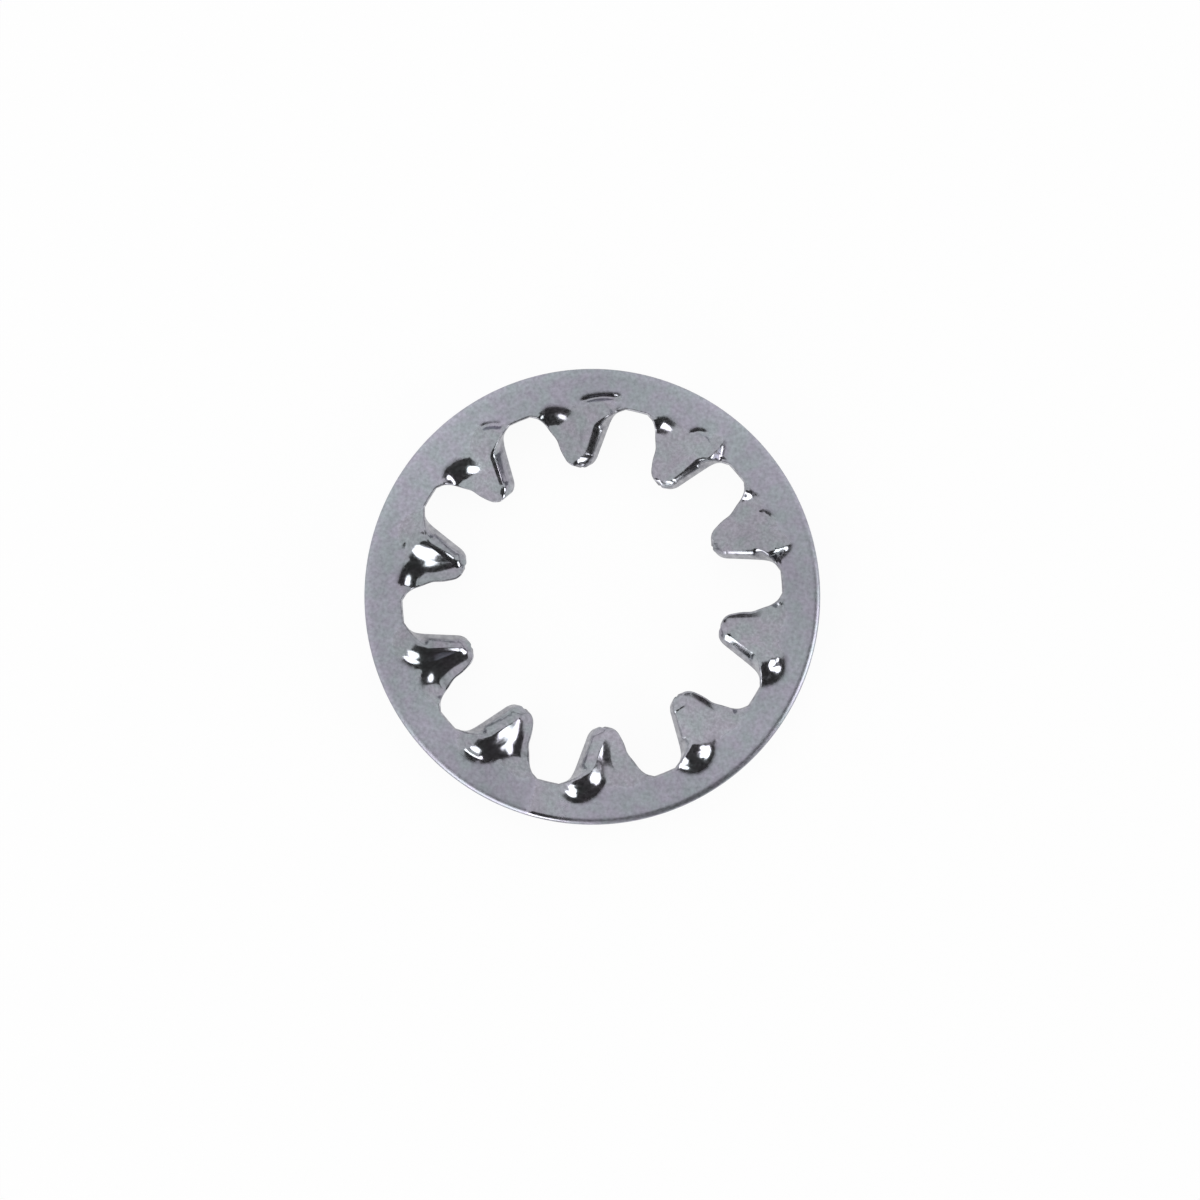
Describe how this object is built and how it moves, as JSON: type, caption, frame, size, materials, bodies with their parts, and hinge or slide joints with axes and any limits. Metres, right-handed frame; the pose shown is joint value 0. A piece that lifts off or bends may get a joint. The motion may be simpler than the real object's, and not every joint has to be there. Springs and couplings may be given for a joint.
{
  "type": "internal-tooth lock washer",
  "caption": "Flat round lock washer of zinc-plated spring steel, with twisted teeth around the inside of its ring that bite into a screw head.",
  "frame": {"origin": "centre of the washer, halfway through the thickness of its sheet", "axes": "+Z along the washer's axis; +X through the middle of one tooth; both faces are alike, so either side may face the screw head"},
  "size_m": [0.018, 0.018, 0.002],
  "materials": {
    "zinc_plated_steel": "satin blue-white zinc plate over blanked spring steel"
  },
  "bodies": {
    "root": {"lock_washer": "zinc_plated_steel"}
  },
  "joints": []
}
